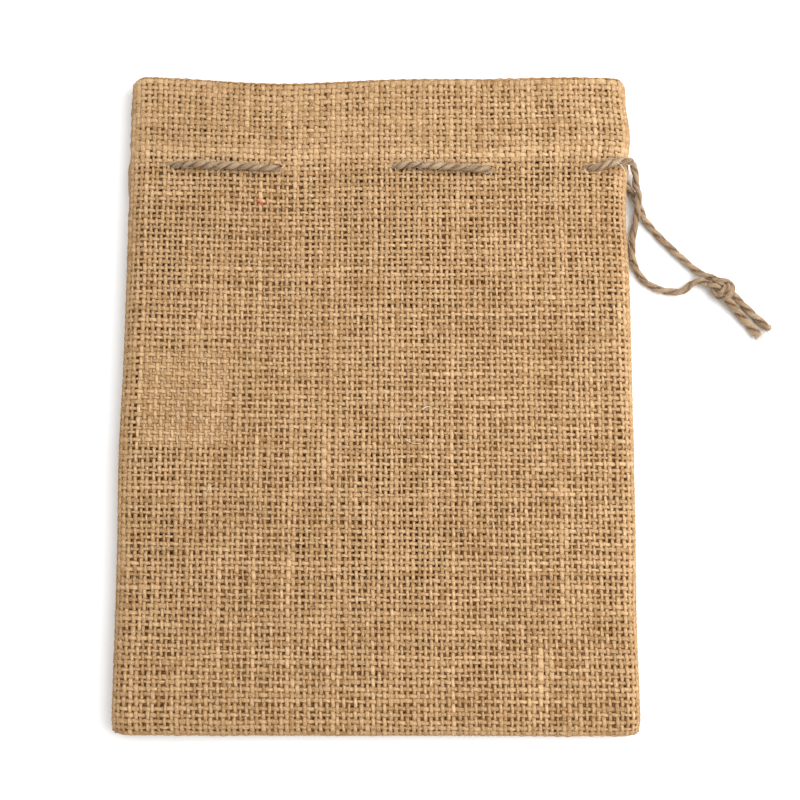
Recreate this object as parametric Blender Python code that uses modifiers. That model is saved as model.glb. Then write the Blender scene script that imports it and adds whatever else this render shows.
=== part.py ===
"""Drawstring gift pouch in hessian, lying flat with its front up.

Two cloth panels are sewn together along the sides and the bottom.  Each panel's
top is turned in as a hem.  One jute drawstring runs in and out of both panels
below the hems, and its two ends leave the right edge and are knotted together.

X runs across the pouch, Y from the bottom seam to the mouth, and Z upwards.
The origin is on the table, under the middle of the pouch.
"""
import math

import bmesh
import bpy
from mathutils import Matrix, Vector

MM = 0.001

# Pouch, sewn flat
WIDTH = 200.0 * MM          # left sewn edge to right sewn edge
HEIGHT = 260.0 * MM         # bottom seam to the top of the hem
DEPTH = 10.2 * MM           # table to the top of the front panel
CLOTH = 0.8 * MM            # thickness of one layer of hessian
HEM_DEPTH = 32.0 * MM       # how far the turned-in layer comes down
EDGE_ROUND = 7.0 * MM       # width of the rounded strip beside each seam

# Clearances
LAYER_GAP = 0.3 * MM        # between two pieces that touch
SEAM_GAP = 1.0 * MM         # between the two panels' sewn rims
CORD_GAP = 0.35 * MM        # between the drawstring and the cloth it lies on
HOLE_GAP = 0.25 * MM        # round the drawstring where it passes through cloth
TABLE_GAP = 0.1 * MM        # under the drawstring where it lies on the table

# Patch of the same cloth behind the front panel
PATCH_LENGTH = 33.0 * MM
PATCH_HEIGHT = 38.0 * MM
PATCH_CENTRE_UP = 127.0 * MM    # above the bottom seam

# Sewing threads
THREAD = 0.8 * MM
THREAD_END = 6.0 * MM           # side threads stop this far below the top edge

# Drawstring
CORD = 2.8 * MM
FRONT_BELOW_HEM = 7.0 * MM      # from the front hem's edge down to the cord's line
BACK_BELOW_HEM = 11.0 * MM
DIVE_LENGTH = 12.0 * MM         # run in which the cord goes through the cloth
FRONT_STITCHES = ((-80.0, -40.2), (7.7, 44.1))      # outside the cloth, mm from the middle
FRONT_LAST_HOLE = 84.6 * MM                         # the last front stitch starts here
FRONT_TILT = 0.7 * MM           # a front stitch starts this far up and ends this far down
BACK_STITCHES = ((-62.0, -18.0), (22.0, 58.0))
BACK_LAST_HOLE = 80.0 * MM
TWIST_GAP = 0.5 * MM            # between the strands twisted beside the edge
NECK_START = 4.6                # the twist's start and length, mm down from the front line
NECK_LENGTH = 13.9
CORD_SPACING = 3.2 * MM         # between the points of the cord's tubes

# Raised band of the back panel over the back stitches
RIDGE_FLAT = 3.4 * MM
RIDGE_SLOPE = 6.2 * MM
RIDGE_STEPS = 4

# Knot
KNOT_RADII = (5.0 * MM, 4.2 * MM, 3.4 * MM)
TAIL_GAP = 0.4 * MM             # between the two tails where they leave the knot
STRAND_GAP = 1.2 * MM           # between the knot and the two strands that come to it

ROUND_STEPS = 6
FOLD_STEPS = 4
CORD_SIDES = 2                  # bevel resolution: 8 sides round

# Worked out from the sizes above
HALF_WIDTH = WIDTH / 2
HALF_HEIGHT = HEIGHT / 2
SEAM_Z = DEPTH / 2
HEM_OFFSET = 2 * CLOTH + LAYER_GAP
CORD_RADIUS = CORD / 2
THREAD_RADIUS = THREAD / 2
TAIL_SPREAD = (CORD + TAIL_GAP) / 2
HEM_EDGE_Y = HALF_HEIGHT - HEM_DEPTH
FRONT_LINE_Y = HEM_EDGE_Y - FRONT_BELOW_HEM
BACK_LINE_Y = HEM_EDGE_Y - BACK_BELOW_HEM
RIDGE_Y = BACK_LINE_Y + 1.0 * MM
RIDGE_HEIGHT = TABLE_GAP + CORD + CORD_GAP
TABLE_CORD_Z = TABLE_GAP + CORD_RADIUS
FRONT_OUT_Z = DEPTH + CORD_GAP + CORD_RADIUS
FRONT_IN_Z = DEPTH - CLOTH - CORD_GAP - CORD_RADIUS
BACK_IN_Z = RIDGE_HEIGHT + CLOTH + CORD_GAP + CORD_RADIUS


def clear_scene():
    for obj in list(bpy.data.objects):
        bpy.data.objects.remove(obj, do_unlink=True)


def make_collection(name):
    collection = bpy.data.collections.new(name)
    bpy.context.scene.collection.children.link(collection)
    return collection


def make_material(name, colour, roughness):
    material = bpy.data.materials.new(name)
    material.use_nodes = True
    shader = material.node_tree.nodes["Principled BSDF"]
    shader.inputs["Base Color"].default_value = (*colour, 1.0)
    shader.inputs["Roughness"].default_value = roughness
    shader.inputs["Metallic"].default_value = 0.0
    material.diffuse_color = (*colour, 1.0)
    return material


def add_object(name, data, collection, material=None):
    obj = bpy.data.objects.new(name, data)
    collection.objects.link(obj)
    if material:
        data.materials.append(material)
    return obj


def mesh_from(name, bm):
    mesh = bpy.data.meshes.new(name)
    bm.to_mesh(mesh)
    bm.free()
    return mesh


# Smooth routes

def curve_point(p0, p1, p2, p3, t):
    """Point at t between p1 and p2 on the curve through all four."""
    a = 2 * p1
    b = p2 - p0
    c = 2 * p0 - 5 * p1 + 4 * p2 - p3
    d = -p0 + 3 * p1 - 3 * p2 + p3
    return 0.5 * (a + b * t + c * t ** 2 + d * t ** 3)


def smooth_route(points, spacing, fine=12):
    """Evenly spaced points on one smooth curve through the route's points."""
    pts = [Vector(p) for p in points]
    pts = [2 * pts[0] - pts[1]] + pts + [2 * pts[-1] - pts[-2]]
    dense = [pts[1]]
    for i in range(1, len(pts) - 2):
        for step in range(1, fine + 1):
            dense.append(curve_point(pts[i - 1], pts[i], pts[i + 1], pts[i + 2], step / fine))
    lengths = [0.0]
    for a, b in zip(dense, dense[1:]):
        lengths.append(lengths[-1] + (b - a).length)
    count = max(2, round(lengths[-1] / spacing))
    route = []
    k = 0
    for i in range(count + 1):
        target = lengths[-1] * i / count
        while k < len(dense) - 2 and lengths[k + 1] < target:
            k += 1
        span = lengths[k + 1] - lengths[k]
        route.append(dense[k].lerp(dense[k + 1], (target - lengths[k]) / span))
    return route


def add_tube(name, route, radius, collection, material=None, sides=CORD_SIDES):
    """Closed round tube along a route, as a bevelled POLY curve with filled caps."""
    curve = bpy.data.curves.new(name, "CURVE")
    curve.dimensions = "3D"
    curve.bevel_depth = radius
    curve.bevel_resolution = sides
    curve.use_fill_caps = True
    spline = curve.splines.new("POLY")
    spline.points.add(len(route) - 1)
    for point, place in zip(spline.points, route):
        point.co = (*place, 1.0)
    return add_object(name, curve, collection, material)


def curve_to_mesh(obj, collection):
    """Replace a curve object with a welded mesh, which a Boolean can use."""
    graph = bpy.context.evaluated_depsgraph_get()
    mesh = bpy.data.meshes.new_from_object(obj.evaluated_get(graph))
    bm = bmesh.new()
    bm.from_mesh(mesh)
    bmesh.ops.remove_doubles(bm, verts=bm.verts, dist=0.00001)
    bm.to_mesh(mesh)
    bm.free()
    name, place = obj.name, obj.matrix_world.copy()
    bpy.data.objects.remove(obj, do_unlink=True)
    result = add_object(name, mesh, collection)
    result.matrix_world = place
    return result


# Cloth panels

def ridge(y):
    """Height of the back panel's raised band at y."""
    away = (abs(y - RIDGE_Y) - RIDGE_FLAT) / RIDGE_SLOPE
    away = min(1.0, max(0.0, away))
    return RIDGE_HEIGHT * 0.5 * (1 + math.cos(math.pi * away))


def across_stations():
    """Columns of a panel: (base x, direction, share of the rounded strip)."""
    flat = HALF_WIDTH - EDGE_ROUND
    shares = [math.sin(math.pi / 2 * i / ROUND_STEPS) for i in range(1, ROUND_STEPS + 1)]
    left = [(-flat, -1, share) for share in reversed(shares)]
    middle = [(flat * k, 0, 0.0) for k in (-1, -0.5, 0, 0.5, 1)]
    right = [(flat, 1, share) for share in shares]
    return left + middle + right


def upward_stations(with_ridge):
    """Rows of a panel: (base y, direction, share of the strip, layer offset)."""
    flat = HALF_HEIGHT - EDGE_ROUND
    rows = []
    for i in range(ROUND_STEPS, 0, -1):
        rows.append((-flat, -1, math.sin(math.pi / 2 * i / ROUND_STEPS), 0.0))
    rows.append((-flat, 0, 0.0, 0.0))
    low = RIDGE_Y - RIDGE_FLAT - RIDGE_SLOPE
    rows += [(-flat + (low + flat) * k / 3, 0, 0.0, 0.0) for k in (1, 2)]
    if with_ridge:
        high = RIDGE_Y + RIDGE_FLAT
        rows += [(low + RIDGE_SLOPE * k / RIDGE_STEPS, 0, 0.0, 0.0) for k in range(RIDGE_STEPS + 1)]
        rows += [(high + RIDGE_SLOPE * k / RIDGE_STEPS, 0, 0.0, 0.0) for k in range(RIDGE_STEPS + 1)]
    else:
        rows.append((low, 0, 0.0, 0.0))
    fold = HEM_OFFSET / 2
    for i in range(FOLD_STEPS + 1):
        angle = math.pi * i / FOLD_STEPS
        rows.append((HALF_HEIGHT - fold + fold * math.sin(angle), 0, 0.0, fold * (1 - math.cos(angle))))
    rows.append((HEM_EDGE_Y, 0, 0.0, HEM_OFFSET))
    return rows


def panel_point(column, row, side, with_ridge):
    """Place on a panel's right side, or on its turned-in layer."""
    base_x, dir_x, u = column
    base_y, dir_y, v, offset = row
    reach_x = u * math.sqrt(1 - v * v / 2)
    reach_y = v * math.sqrt(1 - u * u / 2)
    x = base_x + dir_x * (EDGE_ROUND - offset) * reach_x
    y = base_y + dir_y * (EDGE_ROUND - offset) * reach_y
    lift = ridge(y) if with_ridge else 0.0
    height = SEAM_Z - lift - offset
    crown = math.sqrt(max(0.0, 1 - reach_x ** 2 - reach_y ** 2))
    z = SEAM_Z + side * (SEAM_GAP / 2 + (height - SEAM_GAP / 2) * crown)
    return Vector((x, y, z))


def add_panel(name, side, with_ridge, cutters, collection, material):
    """One cloth panel with its hem turned in; side is 1 for front, -1 for back."""
    columns = across_stations()
    rows = upward_stations(with_ridge)
    across, up = len(columns) - 1, len(rows) - 1
    bm = bmesh.new()
    bmesh.ops.create_grid(bm, x_segments=across, y_segments=up, size=0.5)
    for vert in bm.verts:
        column = columns[round((vert.co.x + 0.5) * across)]
        row = rows[round((vert.co.y + 0.5) * up)]
        vert.co = panel_point(column, row, side, with_ridge)
    if side < 0:
        bmesh.ops.reverse_faces(bm, faces=bm.faces)
    panel = add_object(name, mesh_from(name, bm), collection, material)
    wall = panel.modifiers.new("cloth", "SOLIDIFY")
    wall.thickness = CLOTH
    wall.offset = -1.0
    wall.use_even_offset = True
    for cutter in cutters:
        hole = panel.modifiers.new(cutter.name, "BOOLEAN")
        hole.operation = "DIFFERENCE"
        hole.solver = "EXACT"
        hole.object = cutter
    return panel


# Drawstring routes

def dive(hole_x, line_y, from_z, to_z):
    """Points where the cord, going right, passes through the cloth at hole_x."""
    half = DIVE_LENGTH / 2
    return [
        (hole_x - half, line_y, from_z),
        (hole_x - half / 2, line_y, from_z + (to_z - from_z) * 0.147),
        (hole_x, line_y, (from_z + to_z) / 2),
        (hole_x + half / 2, line_y, from_z + (to_z - from_z) * 0.853),
        (hole_x + half, line_y, to_z),
    ]


def back_run_points():
    """In and out of the back panel, from the left turn to under the right edge."""
    y = BACK_LINE_Y
    points = []
    for number, (start, end) in enumerate(BACK_STITCHES):
        points += dive(start * MM, y, BACK_IN_Z, TABLE_CORD_Z)
        points.append(((start + end) / 2 * MM, y, TABLE_CORD_Z))
        points += dive(end * MM, y, TABLE_CORD_Z, BACK_IN_Z)
        last = number + 1 == len(BACK_STITCHES)
        following = BACK_LAST_HOLE if last else BACK_STITCHES[number + 1][0] * MM
        if following - end * MM > 1.5 * DIVE_LENGTH:
            points.append(((end * MM + following) / 2, y, BACK_IN_Z))
    points += dive(BACK_LAST_HOLE, y, BACK_IN_Z, TABLE_CORD_Z)
    points.append((HALF_WIDTH - 8.5 * MM, y + 0.7 * MM, TABLE_CORD_Z))
    return points


def under_edge_point():
    """Where the lower strand leaves the back run, under the right edge."""
    return HALF_WIDTH - 4.0 * MM, BACK_LINE_Y + 2.4 * MM, TABLE_CORD_Z


def turn_point():
    """The middle of the turn from back to front, inside the left edge."""
    return -HALF_WIDTH + 5.2 * MM, FRONT_LINE_Y - 2.8 * MM, (FRONT_IN_Z + BACK_IN_Z) / 2


def left_turn_points():
    x = -HALF_WIDTH
    y = FRONT_LINE_Y
    return [
        (x + 26.0 * MM, BACK_LINE_Y, BACK_IN_Z),
        (x + 21.0 * MM, BACK_LINE_Y - 0.8 * MM, BACK_IN_Z),
        (x + 16.0 * MM, y - 7.2 * MM, BACK_IN_Z),
        (x + 11.0 * MM, y - 8.4 * MM, BACK_IN_Z),
        (x + 7.0 * MM, y - 6.8 * MM, BACK_IN_Z + 0.1 * MM),
        turn_point(),
        (x + 7.0 * MM, y + 1.2 * MM, FRONT_IN_Z - 0.1 * MM),
        (x + 11.0 * MM, y + 2.6 * MM, FRONT_IN_Z + 0.2 * MM),
        (x + 15.0 * MM, y + 1.6 * MM, FRONT_IN_Z + 1.0 * MM),
    ]


def front_run_points():
    """In and out of the front panel, from the left turn to the last hole."""
    y = FRONT_LINE_Y
    half = DIVE_LENGTH / 2
    first = FRONT_STITCHES[0][0] * MM
    points = [
        (first, y + FRONT_TILT, (FRONT_IN_Z + FRONT_OUT_Z) / 2 + 0.3 * MM),
        (first + half / 2, y + FRONT_TILT, FRONT_OUT_Z - 0.5 * MM),
        (first + half, y + FRONT_TILT, FRONT_OUT_Z),
    ]
    for number, (start, end) in enumerate(FRONT_STITCHES):
        if number:
            points += dive(start * MM, y + FRONT_TILT, FRONT_IN_Z, FRONT_OUT_Z)
        points.append(((start + end) / 2 * MM, y, FRONT_OUT_Z))
        points += dive(end * MM, y - FRONT_TILT, FRONT_OUT_Z, FRONT_IN_Z)
        last = number + 1 == len(FRONT_STITCHES)
        following = FRONT_LAST_HOLE if last else FRONT_STITCHES[number + 1][0] * MM
        points.append(((end * MM + following) / 2, y, FRONT_IN_Z))
    points += dive(FRONT_LAST_HOLE, y, FRONT_IN_Z, FRONT_OUT_Z)[:4]
    points.append((HALF_WIDTH - 9.6 * MM, y + 0.8 * MM, FRONT_OUT_Z - 0.1 * MM))
    return points


def edge_top_point():
    """Where the cord starts to go over the right edge."""
    return HALF_WIDTH - 5.8 * MM, FRONT_LINE_Y + 1.9 * MM, FRONT_OUT_Z - 0.2 * MM


def edge_bend_point():
    """The cord on the rounded edge, clear of the cloth all round."""
    angle = math.radians(45)
    clear = CORD_RADIUS + CORD_GAP + 0.3 * MM
    x = HALF_WIDTH - EDGE_ROUND * (1 - math.sin(angle)) + 0.52 * clear
    z = SEAM_Z + SEAM_GAP / 2 + (DEPTH / 2 - SEAM_GAP / 2) * math.cos(angle) + 0.85 * clear
    return x, FRONT_LINE_Y + 2.9 * MM, z


def edge_side_point():
    """Where the cord is clear of the cloth, beside the right edge."""
    return HALF_WIDTH + 2.2 * MM, FRONT_LINE_Y + 3.2 * MM, SEAM_Z + 2.4 * MM


def neck_points(strand):
    """Half a turn of one strand round the other; strand is 1 for the upper one."""
    points = []
    spread = (CORD + TWIST_GAP) / 2
    for share in (0.0, 0.25, 0.5, 0.75, 1.0):
        angle = math.radians(20 + 145 * share)
        x = HALF_WIDTH + (2.9 + 4.9 * share - 1.8 * share ** 2) * MM
        y = FRONT_LINE_Y - (NECK_START + NECK_LENGTH * share) * MM
        z = TABLE_CORD_Z
        if strand > 0:
            z += 2 * spread * math.sin(angle)
        points.append((x + strand * spread * math.cos(angle), y, z))
    return points


def knot_centre():
    return Vector((HALF_WIDTH + 38.1 * MM, FRONT_LINE_Y - 48.2 * MM, KNOT_RADII[2] + TABLE_GAP))


def knot_axes():
    """Unit vectors along the tails and across them."""
    along = Vector((0.692, -0.722, 0.0)).normalized()
    return along, Vector((-along.y, along.x, 0.0))


def strand_end(share):
    """Where a strand meets the knot; share is its place across the two strands."""
    along, across = knot_axes()
    end = knot_centre() - along * (KNOT_RADII[0] + STRAND_GAP) + across * (share * 2 * TAIL_SPREAD)
    return end.x, end.y, TABLE_CORD_Z + 1.7 * MM


def loop_strand_points():
    """The upper strand: beside the edge, round the loop and into the knot."""
    x = HALF_WIDTH
    y = FRONT_LINE_Y
    z = TABLE_CORD_Z
    start = [
        (x + 3.3 * MM, y + 1.8 * MM, SEAM_Z - 0.1 * MM),
        (x + 4.3 * MM, y - 1.2 * MM, z + 2.0 * MM),
    ]
    loop = [
        (x + 3.2 * MM, y - 23.4 * MM, z + 0.2 * MM),
        (x + 2.5 * MM, y - 29.0 * MM, z),
        (x + 2.6 * MM, y - 34.6 * MM, z),
        (x + 4.2 * MM, y - 39.8 * MM, z),
        (x + 7.3 * MM, y - 44.2 * MM, z),
        (x + 11.8 * MM, y - 47.1 * MM, z),
        (x + 17.2 * MM, y - 48.4 * MM, z),
        (x + 22.4 * MM, y - 48.2 * MM, z),
        (x + 26.0 * MM, y - 45.3 * MM, z + 0.2 * MM),
        (x + 29.0 * MM, y - 44.5 * MM, z + 0.9 * MM),
        strand_end(-0.75),
    ]
    return start + neck_points(1) + loop


def straight_strand_points():
    """The lower strand: out from under the back, and straight to the knot."""
    x = HALF_WIDTH
    y = FRONT_LINE_Y
    z = TABLE_CORD_Z
    start = [
        (x - 1.4 * MM, BACK_LINE_Y + 2.2 * MM, z),
        (x + 0.6 * MM, BACK_LINE_Y + 0.6 * MM, z),
    ]
    straight = [
        (x + 9.8 * MM, y - 21.4 * MM, z),
        (x + 13.4 * MM, y - 25.6 * MM, z),
        (x + 18.2 * MM, y - 30.6 * MM, z),
        (x + 23.6 * MM, y - 35.9 * MM, z + 0.1 * MM),
        (x + 28.9 * MM, y - 40.7 * MM, z + 0.8 * MM),
        strand_end(0.25),
    ]
    return start + neck_points(-1) + straight


def whole_cord():
    """One smooth centreline: knot, back run, left turn, front run, loop, knot."""
    points = list(reversed(straight_strand_points()))
    points.append(under_edge_point())
    points += reversed(back_run_points())
    points += left_turn_points()
    points += front_run_points()
    points += [edge_top_point(), edge_bend_point(), edge_side_point()]
    points += loop_strand_points()
    return smooth_route(points, CORD_SPACING)


def split_cord(route, places):
    """Cut a route square across the segments nearest to the given places, in order."""
    pieces = []
    start = 0
    first = []
    for place in places:
        target = Vector(place)
        k = min(range(start, len(route) - 1), key=lambda i: ((route[i] + route[i + 1]) / 2 - target).length)
        middle = (route[k] + route[k + 1]) / 2
        half_gap = (route[k + 1] - route[k]).normalized() * (LAYER_GAP / 2)
        pieces.append(first + route[start:k + 1] + [middle - half_gap])
        first = [middle + half_gap]
        start = k + 1
    pieces.append(first + route[start:])
    return pieces


def tail_route(side, length, drift):
    """A loose end beyond the knot; side is 1 for the upper one."""
    knot = knot_centre()
    along, across = knot_axes()
    z = TABLE_CORD_Z
    clear = KNOT_RADII[0] + LAYER_GAP
    start = knot + along * clear + across * (side * TAIL_SPREAD)
    middle = knot + along * (clear + length * 0.5) + across * (side * TAIL_SPREAD + drift * 0.35)
    end = knot + along * (clear + length) + across * (side * TAIL_SPREAD + drift)
    start.z, middle.z, end.z = z + 1.7 * MM, z + 0.5 * MM, z
    return smooth_route([start, middle, end], CORD_SPACING)


# Building

def build_drawstring(collection, cutters, material):
    """The drawstring's stretches, and the clearances it needs through the cloth."""
    places = [under_edge_point(), turn_point(), edge_top_point(), edge_side_point()]
    straight, back, front, over_edge, loop = split_cord(whole_cord(), places)
    stretches = {
        "drawstring_straight_strand": straight,
        "drawstring_back_run": back,
        "drawstring_front_run": front,
        "drawstring_over_edge": over_edge,
        "drawstring_loop_strand": loop,
        "drawstring_tail_upper": tail_route(1, 18.6 * MM, 1.9 * MM),
        "drawstring_tail_lower": tail_route(-1, 17.6 * MM, -1.5 * MM),
    }
    for name, route in stretches.items():
        add_tube(name, route, CORD_RADIUS, collection, material)

    bm = bmesh.new()
    bmesh.ops.create_uvsphere(bm, u_segments=16, v_segments=10, radius=1.0)
    along, _ = knot_axes()
    turn = Matrix.Rotation(math.atan2(along.y, along.x), 4, "Z")
    bmesh.ops.scale(bm, verts=bm.verts, vec=KNOT_RADII)
    bmesh.ops.transform(bm, verts=bm.verts, matrix=turn)
    knot = add_object("drawstring_knot", mesh_from("drawstring_knot", bm), collection, material)
    knot.data.shade_smooth()
    knot.location = knot_centre()

    holes = {}
    for name, route in (("front_cord_holes", front), ("back_cord_holes", back)):
        tube = add_tube(name, route, CORD_RADIUS + HOLE_GAP, cutters)
        holes[name] = curve_to_mesh(tube, cutters)
    return holes


def build_patch(collection, material):
    """Patch of hessian behind the front panel, beside the left seam."""
    bm = bmesh.new()
    bmesh.ops.create_cube(bm, size=1.0)
    bmesh.ops.scale(bm, verts=bm.verts, vec=(PATCH_LENGTH, PATCH_HEIGHT, CLOTH))
    patch = add_object("inner_patch", mesh_from("inner_patch", bm), collection, material)
    patch.location = (
        -HALF_WIDTH + EDGE_ROUND + LAYER_GAP + PATCH_LENGTH / 2,
        -HALF_HEIGHT + PATCH_CENTRE_UP,
        DEPTH - CLOTH - LAYER_GAP - CLOTH / 2,
    )


def build_threads(collection, material):
    """The sewing: two side seams, the bottom seam and the overcast hem edges."""
    side_x = HALF_WIDTH - HEM_OFFSET - LAYER_GAP - THREAD_RADIUS
    side_z = max(SEAM_Z, RIDGE_HEIGHT + CLOTH + 2 * LAYER_GAP + THREAD_RADIUS)
    low = -HALF_HEIGHT + EDGE_ROUND
    high = HALF_HEIGHT - THREAD_END
    for name, x in (("left_seam_thread", -side_x), ("right_seam_thread", side_x)):
        route = [(x, low, side_z), (x, (low + high) / 2, side_z), (x, high, side_z)]
        add_tube(name, route, THREAD_RADIUS, collection, material, sides=1)
    bottom_y = -HALF_HEIGHT + CLOTH + LAYER_GAP + THREAD_RADIUS
    reach = HALF_WIDTH - EDGE_ROUND
    route = [(-reach, bottom_y, SEAM_Z), (0, bottom_y, SEAM_Z), (reach, bottom_y, SEAM_Z)]
    add_tube("bottom_seam_thread", route, THREAD_RADIUS, collection, material, sides=1)
    hem_y = HEM_EDGE_Y - LAYER_GAP - THREAD_RADIUS
    inset = CLOTH + LAYER_GAP + THREAD_RADIUS
    for name, z in (("front_hem_thread", DEPTH - inset), ("back_hem_thread", inset + ridge(hem_y))):
        route = [(-reach, hem_y, z), (0, hem_y, z), (reach, hem_y, z)]
        add_tube(name, route, THREAD_RADIUS, collection, material, sides=1)


def build_pouch():
    clear_scene()
    pouch = make_collection("drawstring_gift_pouch")
    cutters = make_collection("cutters")
    hessian = make_material("hessian", (0.50, 0.30, 0.14), 0.92)
    twine = make_material("jute_twine", (0.47, 0.34, 0.21), 0.88)
    thread = make_material("sewing_thread", (0.62, 0.45, 0.26), 0.80)

    holes = build_drawstring(pouch, cutters, twine)
    bpy.context.view_layer.update()
    add_panel("front_panel", 1, False, [holes["front_cord_holes"]], pouch, hessian)
    add_panel("back_panel", -1, True, [holes["back_cord_holes"]], pouch, hessian)
    build_patch(pouch, hessian)
    build_threads(pouch, thread)
    for cutter in cutters.objects:
        cutter.hide_render = True
        cutter.display_type = "WIRE"


build_pouch()
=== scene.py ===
import math

import bmesh
import bpy
import numpy as np
from mathutils import Euler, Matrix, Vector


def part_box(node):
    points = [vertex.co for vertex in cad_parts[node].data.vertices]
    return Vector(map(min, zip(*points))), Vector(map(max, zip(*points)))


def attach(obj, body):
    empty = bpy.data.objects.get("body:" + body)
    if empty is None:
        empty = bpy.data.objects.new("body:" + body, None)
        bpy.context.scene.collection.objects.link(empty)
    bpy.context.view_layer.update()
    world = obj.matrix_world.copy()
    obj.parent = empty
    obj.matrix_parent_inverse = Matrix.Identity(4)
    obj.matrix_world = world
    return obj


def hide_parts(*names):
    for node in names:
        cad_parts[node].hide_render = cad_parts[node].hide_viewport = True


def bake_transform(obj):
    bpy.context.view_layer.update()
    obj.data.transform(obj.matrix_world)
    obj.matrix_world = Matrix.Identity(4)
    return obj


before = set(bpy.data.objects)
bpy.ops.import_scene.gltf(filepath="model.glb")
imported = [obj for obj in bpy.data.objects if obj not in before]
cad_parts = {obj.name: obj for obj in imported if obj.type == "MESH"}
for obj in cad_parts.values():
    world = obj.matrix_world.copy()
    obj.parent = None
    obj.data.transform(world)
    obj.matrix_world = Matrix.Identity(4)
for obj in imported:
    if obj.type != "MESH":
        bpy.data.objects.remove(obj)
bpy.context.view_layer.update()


# Camera

cameraView = {
    "lens": 49.5,                           # on a 36 mm sensor
    "place": (0.00848, -0.05646, 0.43491),
    "turn": (7.213, -0.061, 0.127),         # degrees: looks down, tipped a little towards the mouth
}


def addCamera():
    data = bpy.data.cameras.new("camera")
    data.lens = cameraView["lens"]
    data.sensor_width = 36.0
    data.clip_start = 0.01
    camera = bpy.data.objects.new("camera", data)
    camera.location = cameraView["place"]
    camera.rotation_euler = Euler([math.radians(a) for a in cameraView["turn"]], "XYZ")
    bpy.context.scene.collection.objects.link(camera)
    bpy.context.scene.camera = camera


addCamera()
print("camera in place")


# Materials

class Signal:
    # One output socket of a finish; sums on it add Math nodes
    def __init__(self, finish, socket):
        self.finish = finish
        self.socket = socket

    def sum(self, operation, first, second, clamp=False):
        settings = {"operation": operation, "use_clamp": clamp}
        return self.finish.node("ShaderNodeMath", settings, {0: first, 1: second})

    def __add__(self, other):
        return self.sum("ADD", self, other)

    def __radd__(self, other):
        return self.sum("ADD", other, self)

    def __sub__(self, other):
        return self.sum("SUBTRACT", self, other)

    def __rsub__(self, other):
        return self.sum("SUBTRACT", other, self)

    def __mul__(self, other):
        return self.sum("MULTIPLY", self, other)

    def __rmul__(self, other):
        return self.sum("MULTIPLY", other, self)

    def above(self, edge, softness):
        # 0 below the edge, 1 above it, with a soft step between
        settings = {"interpolation_type": "SMOOTHSTEP"}
        sockets = {"Value": self, "From Min": edge - softness, "From Max": edge + softness}
        return self.finish.node("ShaderNodeMapRange", settings, sockets)


class Finish:
    # A material and its Principled shader
    def __init__(self, name, roughness=0.9, sheen=0.0, specular=0.3):
        self.material = bpy.data.materials.new(name)
        self.material.use_nodes = True
        self.tree = self.material.node_tree
        self.shader = self.tree.nodes["Principled BSDF"]
        self.shader.inputs["Roughness"].default_value = roughness
        self.shader.inputs["Specular IOR Level"].default_value = specular
        self.shader.inputs["Sheen Weight"].default_value = sheen
        self.shader.inputs["Sheen Roughness"].default_value = 0.6

    def node(self, kind, settings, sockets, output=0):
        made = self.tree.nodes.new(kind)
        for key, value in settings.items():
            setattr(made, key, value)
        for key, value in sockets.items():
            self.feed(made.inputs[key], value)
        return Signal(self, made.outputs[output])

    def feed(self, socket, value):
        if isinstance(value, Signal):
            self.tree.links.new(value.socket, socket)
        elif hasattr(value, "__len__") and len(value) == 3 and socket.type == "RGBA":
            socket.default_value = (*value, 1.0)
        else:
            socket.default_value = value

    def attribute(self, name):
        return self.node("ShaderNodeAttribute", {"attribute_name": name}, {}, "Fac")

    def strip(self):
        # The map that runs along each yarn, as its two values
        uv = self.node("ShaderNodeUVMap", {"uv_map": "OFBake"}, {})
        parts = self.node("ShaderNodeSeparateXYZ", {}, {0: uv})
        return parts, Signal(self, parts.socket.node.outputs[1])

    def place(self):
        return self.node("ShaderNodeTexCoord", {}, {}, "Object")

    def vector(self, x, y, z):
        return self.node("ShaderNodeCombineXYZ", {}, {0: x, 1: y, 2: z})

    def noise(self, vector, scale, detail=2.0, roughness=0.5):
        sockets = {"Vector": vector, "Scale": scale, "Detail": detail, "Roughness": roughness}
        return self.node("ShaderNodeTexNoise", {"noise_dimensions": "3D"}, sockets)

    def mix(self, share, first, second, blend="MIX"):
        settings = {"data_type": "RGBA", "blend_type": blend}
        return self.node("ShaderNodeMix", settings, {0: share, 6: first, 7: second}, 2)

    def colour(self, value):
        self.feed(self.shader.inputs["Base Color"], value)

    def bump(self, height, distance, strength=1.0):
        sockets = {"Height": height, "Distance": distance, "Strength": strength}
        normal = self.node("ShaderNodeBump", {}, sockets)
        self.feed(self.shader.inputs["Normal"], normal)


hessianLook = {
    "dark": (0.29, 0.160, 0.062),
    "light": (0.63, 0.425, 0.235),
    "under": (0.27, 0.125, 0.036),      # painted shade where a yarn passes beneath its neighbours
    # painted shade on the sides of each yarn, where its round section turns away from the light
    "flankShade": (0.34, 0.155, 0.038),
    "inside": (0.82, 0.50, 0.200),      # painted light: a brighter, warmer colour on the yarns' faces inside the pouch, for light that reaches them only through the cloth
    "pale": (0.80, 0.66, 0.46),         # bleached fibres
    "fleck": (0.13, 0.062, 0.024),      # bits of bark
}


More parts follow.
